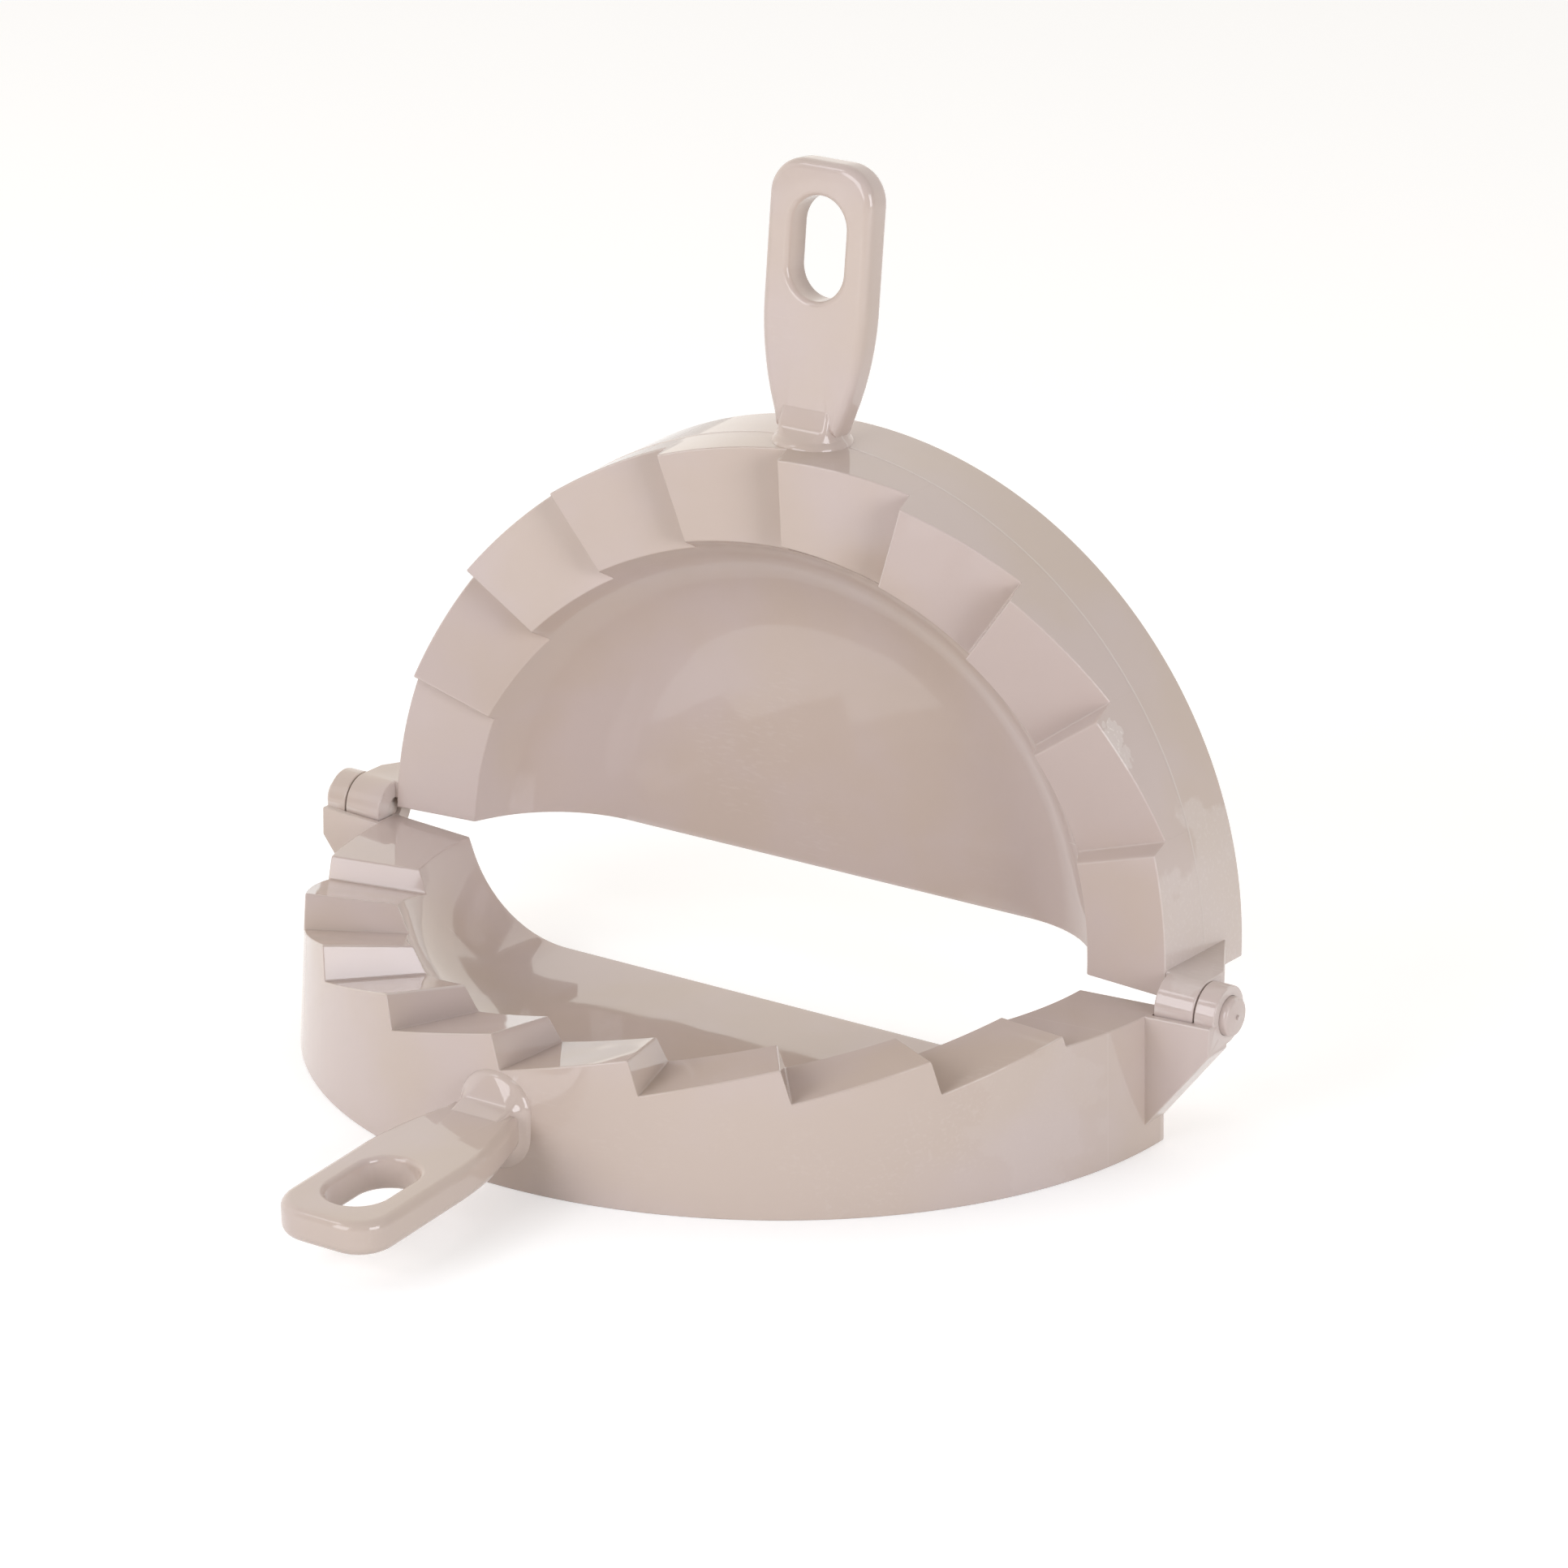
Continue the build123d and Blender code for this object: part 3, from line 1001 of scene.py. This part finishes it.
def blend_colour(tree, factor, first, second):
    """Mix of two colours, each a colour or a socket."""
    node = tree.nodes.new("ShaderNodeMix")
    node.data_type = "RGBA"
    for name, colour in (("A", first), ("B", second)):
        if isinstance(colour, bpy.types.NodeSocket):
            tree.links.new(colour, node.inputs[name])
        else:
            node.inputs[name].default_value = (*colour, 1.0)
    tree.links.new(factor, node.inputs["Factor"])
    return node.outputs["Result"]


def plastic_material(slot_name, settings, jaw):
    """Glossy moulded plastic: clouds of colour, sink waves, scuffed places with one painted reflection,
    painted highlight on edges and on the rear seam, and the front's pale mould line.
    """
    material = bpy.data.materials.new(slot_name + "_plastic")
    material.use_nodes = True
    tree = material.node_tree
    shader = tree.nodes["Principled BSDF"]
    shader.inputs["IOR"].default_value = PLASTIC_IOR
    place = tree.nodes.new("ShaderNodeTexCoord")
    position = place.outputs["Object"]

    patches = spread(tree, noise(tree, place, SCUFF_PATCH_SCALE, 3.0), 0.60, 0.72)
    strokes = spread(tree, noise(tree, place, SCUFF_STROKE_SCALE, 4.0, (0.25, 1.0, 1.0)), 0.5, 0.68)
    scuffs_and_reflection = product(tree, patches, strokes, SCUFF_STRENGTH)
    if jaw:
        reach = reach_from_middle(tree, position, jaw)
        on_skirt = spread(tree, reach, *MARKS_BEGIN)
        streaks_on_skirt = product(tree, spread(tree, strokes, 0.0, 1.0, 0.7, 1.0), on_skirt)
        # The rear jaw's largest mark is rubbed wear and also a painted reflection of the bright floor
        for centre, radius, strength in jaw.marks:
            patch = product(tree, torn_patch(tree, place, centre, radius), streaks_on_skirt, strength)
            scuffs_and_reflection = arithmetic(tree, "MAXIMUM", scuffs_and_reflection, patch)

    # Painted highlight: convex edges, picked out by their pointiness, are paled towards the scuff colour
    curve = tree.nodes.new("ShaderNodeNewGeometry")
    edges = spread(tree, curve.outputs["Pointiness"], 0.53, 0.62, 0.0, EDGE_HIGHLIGHT_STRENGTH)
    # Scuffed places, together with the painted highlight on edges
    pale = arithmetic(tree, "MAXIMUM", scuffs_and_reflection, edges)
    # Painted highlight along the rear seam's ridge, and the front's pale mould line
    if jaw:
        seam = product(tree, seam_highlight_and_mould_line(tree, position, jaw, reach), SEAM_HIGHLIGHT_AND_LINE_STRENGTH)
        pale = arithmetic(tree, "MAXIMUM", pale, seam)
    clouds = spread(tree, noise(tree, place, CLOUD_SCALE, 3.0), 0.38, 0.62)
    colour = blend_colour(tree, clouds, settings.colour, settings.deep_colour)
    colour = blend_colour(tree, pale, colour, settings.scuff_and_highlight_colour)
    tree.links.new(colour, shader.inputs["Base Color"])

    low, high = settings.roughness - HAZE_SPREAD, settings.roughness + HAZE_SPREAD
    haze = spread(tree, noise(tree, place, HAZE_SCALE, 4.0), 0.3, 0.7, low, high)
    rubbed = product(tree, scuffs_and_reflection, SCUFF_ROUGHNESS)
    tree.links.new(arithmetic(tree, "ADD", haze, rubbed), shader.inputs["Roughness"])

    waves = bump(tree, noise(tree, place, WAVE_SCALE, 1.0), WAVE_HEIGHT * MM)
    tree.links.new(bump(tree, scuffs_and_reflection, SCUFF_HEIGHT * MM, waves), shader.inputs["Normal"])
    return material


# ---------------------------------------------------------------- pieces


def hinge_end(jaw, side, edge):
    """Bracket and knuckle at one end of a jaw, bored for the pin."""
    label = jaw.node + ("_left" if side < 0 else "_right")
    near, far = jaw.knuckle
    outline = bracket_outline(jaw, side, far)
    bracket = prism(label + "_bracket", outline, BRACKET_BACK, -jaw.bracket_reach, jaw.seat, edge)
    if jaw is FRONT:
        pocket = rod(label + "_pocket", side, (POCKET_START, near), POCKET_RADIUS, jaw.seat)
        combine(bracket, [pocket], "DIFFERENCE")
    combine(bracket, [knuckle_rod(label + "_knuckle", side, jaw.knuckle, jaw.seat, edge)], "UNION")
    bored = (near - BORE_OVERRUN[0], far + BORE_OVERRUN[1])
    return combine(bracket, [rod(label + "_bore", side, bored, jaw.bore_radius, jaw.seat)], "DIFFERENCE")


def pin_outline():
    """Pairs of X and radius: a chamfered shank, and a rounded head with the mould's gate mark."""
    start, face = PIN_HEAD
    shoulder, rim = (start, PIN_HEAD_RADIUS), (face, PIN_HEAD_RADIUS)
    return [
        (PIN_TIP, AXIS_GAP),
        (PIN_TIP, PIN_RADIUS - PIN_CHAMFER),
        (PIN_TIP + PIN_CHAMFER, PIN_RADIUS),
        (start, PIN_RADIUS),
        shoulder,
        *((p.x, p.y) for p in corner_arc(shoulder, rim, (face, GATE_STEPS[0][1]), PIN_HEAD_EDGE, 5)),
        (face, GATE_FOOT_RADIUS),
        *GATE_STEPS,
        (GATE_STEPS[-1][0], AXIS_GAP),
    ]


def moulded_jaw(jaw, settings):
    """One jaw, joined from its shell, webs, brackets, knuckles and handle."""
    edge = settings.edge_radius / MM
    shell = jaw_shell(jaw, edge)
    extras = [
        *(prism(jaw.node + "_web", web_outline(jaw, side), 0, -WALL, jaw.seat, 0) for side in (-1, 1)),
        handle_neck(jaw),
        handle_plate(jaw),
    ]
    combine(shell, extras, "UNION")
    for side in (-1, 1):
        add_to(shell, hinge_end(jaw, side, edge))
    shell.name = shell.data.name = jaw.node + "_moulding"
    dress(shell, jaw.node, settings, jaw)
    return shell


def dress(piece, node, settings, jaw=None):
    """Gives a piece its plastic and lets it stand for a CAD node."""
    piece.data.materials.clear()
    piece.data.materials.append(plastic_material(node, settings, jaw))
    piece.data.shade_smooth()
    piece.data.set_sharp_from_angle(angle=SMOOTH_ANGLE)
    piece.modifiers.new("Even Normals", "WEIGHTED_NORMAL").keep_sharp = True
    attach(piece, frame["nodes"][node]["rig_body"])
    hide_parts(node)


class PRESS_OT_front_jaw(bpy.types.Operator):
    """Make the front jaw, which lies on the table"""

    bl_idname = "press.front_jaw"
    bl_label = "Front Jaw"

    def execute(self, context):
        moulded_jaw(FRONT, context.scene.press_plastic)
        return {"FINISHED"}


class PRESS_OT_rear_jaw(bpy.types.Operator):
    """Make the rear jaw, which stands open"""

    bl_idname = "press.rear_jaw"
    bl_label = "Rear Jaw"

    def execute(self, context):
        moulded_jaw(REAR, context.scene.press_plastic)
        return {"FINISHED"}


class PRESS_OT_hinge_pins(bpy.types.Operator):
    """Make the two hinge pins"""

    bl_idname = "press.hinge_pins"
    bl_label = "Hinge Pins"

    def execute(self, context):
        settings = context.scene.press_plastic
        for side, node in ((-1, "left_hinge_pin"), (1, "right_hinge_pin")):
            outline = [(side * x, radius) for x, radius in pin_outline()]
            pin = lathe(node + "_moulding", outline, FRONT.seat, HINGE_SETBACK, HINGE_HEIGHT)
            dress(pin, node, settings)
        return {"FINISHED"}


# ---------------------------------------------------------------- stage

# Metres
FLOOR_HALF_WIDTH = 6.0
CAMERA_PLACE = (0.553692, -0.794994, 0.409448)
SOFTBOX_AIM = (0, 0, 0.07)
SOFTBOX_DISTANCE = 1.3

# Degrees
CAMERA_AZIMUTH = 33.016
CAMERA_ELEVATION = 19.724
CAMERA_ROLL = 0.990

# Name, azimuth round the press from -Y, elevation, share of the power, and width
SOFTBOXES = (
    ("front_softbox", -15, 19, 0.80, 0.75),
    ("right_softbox", 72, 15, 0.80, 0.6),
    ("left_softbox", -60, 20, 0.12, 0.8),
    ("top_softbox", -45, 45, 0.1, 0.3),
)

# Unit direction of the room's bright side, and the cosines from it between which the room brightens
BRIGHT_SIDE = (-0.633, 0.754, -0.174)
BRIGHTENING = (-0.45, 0.75)


class PRESS_OT_stage(bpy.types.Operator):
    """Make the floor, the lamps, the room light and the camera"""

    bl_idname = "press.stage"
    bl_label = "Stage"

    def execute(self, context):
        settings = context.scene.press_stage
        scene = context.scene
        scene.view_settings.view_transform = "Standard"
        self.floor(settings)
        self.room(scene, settings)
        self.lamps(settings)
        self.camera(scene, settings)
        return {"FINISHED"}

    def floor(self, settings):
        """Pale matt table top, white where no shadow falls on it."""
        mesh = bpy.data.meshes.new("floor")
        half = FLOOR_HALF_WIDTH
        mesh.from_pydata(
            [(-half, -half, 0), (half, -half, 0), (half, half, 0), (-half, half, 0)], [], [(0, 1, 2, 3)]
        )
        floor = bpy.data.objects.new("floor", mesh)
        bpy.context.scene.collection.objects.link(floor)
        material = bpy.data.materials.new("studio_floor")
        material.use_nodes = True
        tree = material.node_tree
        shader = tree.nodes["Principled BSDF"]
        shader.inputs["Base Color"].default_value = (*settings.floor_colour, 1.0)
        shader.inputs["Roughness"].default_value = 1.0
        shader.inputs["Specular IOR Level"].default_value = 0.0
        shader.inputs["Emission Color"].default_value = (1, 1, 1, 1)
        lift = product(tree, self.in_view(tree), settings.floor_lift)
        tree.links.new(lift, shader.inputs["Emission Strength"])
        mesh.materials.append(material)

    def in_view(self, tree):
        """1 where the camera sees a surface, or sees it mirrored or through glass."""
        path = tree.nodes.new("ShaderNodeLightPath")
        mirrored = arithmetic(
            tree, "MAXIMUM", path.outputs["Is Glossy Ray"], path.outputs["Is Transmission Ray"]
        )
        return arithmetic(tree, "MAXIMUM", path.outputs["Is Camera Ray"], mirrored)

    def room(self, scene, settings):
        """Pale backdrop to the rear and left, a dim room in front, and white where the camera sees it."""
        world = bpy.data.worlds.new("room")
        scene.world = world
        world.use_nodes = True
        nodes, links = world.node_tree.nodes, world.node_tree.links
        place = nodes.new("ShaderNodeTexCoord")
        facing = nodes.new("ShaderNodeVectorMath")
        facing.operation = "DOT_PRODUCT"
        facing.inputs[1].default_value = BRIGHT_SIDE
        level = nodes.new("ShaderNodeMapRange")
        level.interpolation_type = "SMOOTHSTEP"
        level.inputs["From Min"].default_value, level.inputs["From Max"].default_value = BRIGHTENING
        level.inputs["To Min"].default_value = settings.room_front
        level.inputs["To Max"].default_value = settings.room_back
        light = nodes["Background"]
        light.inputs["Color"].default_value = (*settings.room_colour, 1.0)
        links.new(place.outputs["Generated"], facing.inputs[0])
        links.new(facing.outputs["Value"], level.inputs["Value"])
        links.new(level.outputs["Result"], light.inputs["Strength"])
        seen = nodes.new("ShaderNodeBackground")
        seen.inputs["Color"].default_value = (1, 1, 1, 1)
        path = nodes.new("ShaderNodeLightPath")
        mix = nodes.new("ShaderNodeMixShader")
        links.new(path.outputs["Is Camera Ray"], mix.inputs["Fac"])
        links.new(light.outputs["Background"], mix.inputs[1])
        links.new(seen.outputs["Background"], mix.inputs[2])
        links.new(mix.outputs["Shader"], nodes["World Output"].inputs["Surface"])

    def lamps(self, settings):
        """Softboxes round the press, all turned to its middle."""
        for name, azimuth, elevation, share, width in SOFTBOXES:
            turn, rise = radians(azimuth), radians(elevation)
            away = Vector((sin(turn) * cos(rise), -cos(turn) * cos(rise), sin(rise)))
            data = bpy.data.lights.new(name, "AREA")
            data.shape = "SQUARE"
            data.size = width
            data.energy = settings.softbox_power * share
            data.color = settings.softbox_colour
            lamp = bpy.data.objects.new(name, data)
            bpy.context.scene.collection.objects.link(lamp)
            lamp.location = Vector(SOFTBOX_AIM) + away * SOFTBOX_DISTANCE
            lamp.rotation_mode = "QUATERNION"
            lamp.rotation_quaternion = away.to_track_quat("Z", "Y")

    def camera(self, scene, settings):
        """Camera on a long lens, a little above the press and to its right."""
        azimuth, elevation, roll = map(radians, (CAMERA_AZIMUTH, CAMERA_ELEVATION, CAMERA_ROLL))
        back = Vector((sin(azimuth) * cos(elevation), -cos(azimuth) * cos(elevation), sin(elevation)))
        level = (-back).cross(Vector((0, 0, 1))).normalized()
        upright = level.cross(-back)
        right = level * cos(roll) + upright * sin(roll)
        up = upright * cos(roll) - level * sin(roll)
        data = bpy.data.cameras.new("camera")
        data.sensor_width = 36.0
        data.lens = settings.focal_length
        camera = bpy.data.objects.new("camera", data)
        scene.collection.objects.link(camera)
        turn = Matrix((right, up, back)).transposed().to_4x4()
        camera.matrix_world = Matrix.Translation(CAMERA_PLACE) @ turn
        scene.camera = camera


class PRESS_PT_sidebar(bpy.types.Panel):
    """Everything the press is dressed with"""

    bl_label = "Empanada Press"
    bl_space_type = "VIEW_3D"
    bl_region_type = "UI"
    bl_category = "Press"

    def draw(self, context):
        layout = self.layout
        for group in (context.scene.press_plastic, context.scene.press_stage):
            box = layout.box()
            for name in group.bl_rna.properties.keys():
                if name not in ("rna_type", "name"):
                    box.prop(group, name)
        for operator in OPERATORS:
            layout.operator(operator.bl_idname)


OPERATORS = (PRESS_OT_front_jaw, PRESS_OT_rear_jaw, PRESS_OT_hinge_pins, PRESS_OT_stage)
CLASSES = (PressPlastic, PressStage, *OPERATORS, PRESS_PT_sidebar)


def register():
    """Adds the classes, and their settings on the scene."""
    for cls in CLASSES:
        bpy.utils.register_class(cls)
    bpy.types.Scene.press_plastic = bpy.props.PointerProperty(type=PressPlastic)
    bpy.types.Scene.press_stage = bpy.props.PointerProperty(type=PressStage)


def unregister():
    """Takes the settings and the classes away."""
    del bpy.types.Scene.press_stage
    del bpy.types.Scene.press_plastic
    for cls in reversed(CLASSES):
        bpy.utils.unregister_class(cls)


def main():
    """Builds the press and its stage."""
    register()
    bpy.ops.press.front_jaw()
    bpy.ops.press.rear_jaw()
    bpy.ops.press.hinge_pins()
    bpy.ops.press.stage()


if __name__ == "__main__":
    main()
